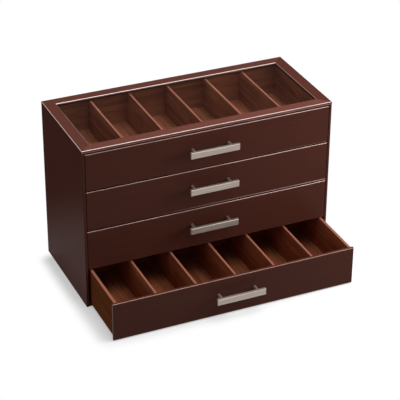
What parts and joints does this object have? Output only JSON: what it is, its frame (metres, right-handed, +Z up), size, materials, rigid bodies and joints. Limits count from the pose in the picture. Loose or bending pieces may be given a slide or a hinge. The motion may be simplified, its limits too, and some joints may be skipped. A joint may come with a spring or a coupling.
{
  "type": "accessory box",
  "caption": "Low lacquered wooden box with a glazed top, stacked divided drawers inset between its sides, and brushed metal bar pulls.",
  "frame": {"origin": "centre of the case's footprint on the floor, at the underside of the base felt", "axes": "+X to the right of someone facing the drawers, along the width, -Y out of the front, the way the drawers open, +Z up"},
  "size_m": [0.44, 0.322, 0.2905],
  "materials": {
    "case_lacquer": "satin dark mahogany lacquer",
    "inner_veneer": "thin satin red-brown veneer",
    "brushed_nickel": "brushed along the bar",
    "screw_steel": "plain zinc",
    "top_glass": "clear polished",
    "base_felt": "short felt"
  },
  "bodies": {
    "case": {"base_felt": "base_felt", "left_side_panel": "case_lacquer", "right_side_panel": "case_lacquer", "back_panel": "case_lacquer", "bottom_panel": "inner_veneer", "left_drawer_guides": "inner_veneer", "right_drawer_guides": "inner_veneer", "glass_pane": "top_glass", "glass_retainers": "case_lacquer", "top_front_rail": "case_lacquer", "top_back_rail": "case_lacquer", "top_left_rail": "case_lacquer", "top_right_rail": "case_lacquer", "third_drawer_shelf": "inner_veneer", "second_drawer_shelf": "inner_veneer", "top_drawer_shelf": "inner_veneer"},
    "bottom_drawer": {"bottom_drawer_front": "case_lacquer", "bottom_drawer_left_side": "inner_veneer", "bottom_drawer_right_side": "inner_veneer", "bottom_drawer_back": "inner_veneer", "bottom_drawer_bottom": "inner_veneer", "bottom_drawer_dividers": "inner_veneer", "bottom_drawer_handle_bar": "brushed_nickel", "bottom_drawer_handle_posts": "brushed_nickel", "bottom_drawer_handle_screws": "screw_steel"},
    "third_drawer": {"third_drawer_front": "case_lacquer", "third_drawer_left_side": "inner_veneer", "third_drawer_right_side": "inner_veneer", "third_drawer_back": "inner_veneer", "third_drawer_bottom": "inner_veneer", "third_drawer_dividers": "inner_veneer", "third_drawer_handle_bar": "brushed_nickel", "third_drawer_handle_posts": "brushed_nickel", "third_drawer_handle_screws": "screw_steel"},
    "second_drawer": {"second_drawer_front": "case_lacquer", "second_drawer_left_side": "inner_veneer", "second_drawer_right_side": "inner_veneer", "second_drawer_back": "inner_veneer", "second_drawer_bottom": "inner_veneer", "second_drawer_dividers": "inner_veneer", "second_drawer_handle_bar": "brushed_nickel", "second_drawer_handle_posts": "brushed_nickel", "second_drawer_handle_screws": "screw_steel"},
    "top_drawer": {"top_drawer_front": "case_lacquer", "top_drawer_left_side": "inner_veneer", "top_drawer_right_side": "inner_veneer", "top_drawer_back": "inner_veneer", "top_drawer_bottom": "inner_veneer", "top_drawer_dividers": "inner_veneer", "top_drawer_handle_bar": "brushed_nickel", "top_drawer_handle_posts": "brushed_nickel", "top_drawer_handle_screws": "screw_steel"}
  },
  "joints": [
    {"name": "bottom_drawer_slide", "type": "slide", "parent": "case", "child": "bottom_drawer", "axis": [0, -1, 0], "range_m": [-0.108, 0.042]},
    {"name": "third_drawer_slide", "type": "slide", "parent": "case", "child": "third_drawer", "axis": [0, -1, 0], "range_m": [0, 0.15]},
    {"name": "second_drawer_slide", "type": "slide", "parent": "case", "child": "second_drawer", "axis": [0, -1, 0], "range_m": [0, 0.15]},
    {"name": "top_drawer_slide", "type": "slide", "parent": "case", "child": "top_drawer", "axis": [0, -1, 0], "range_m": [0, 0.15]}
  ]
}
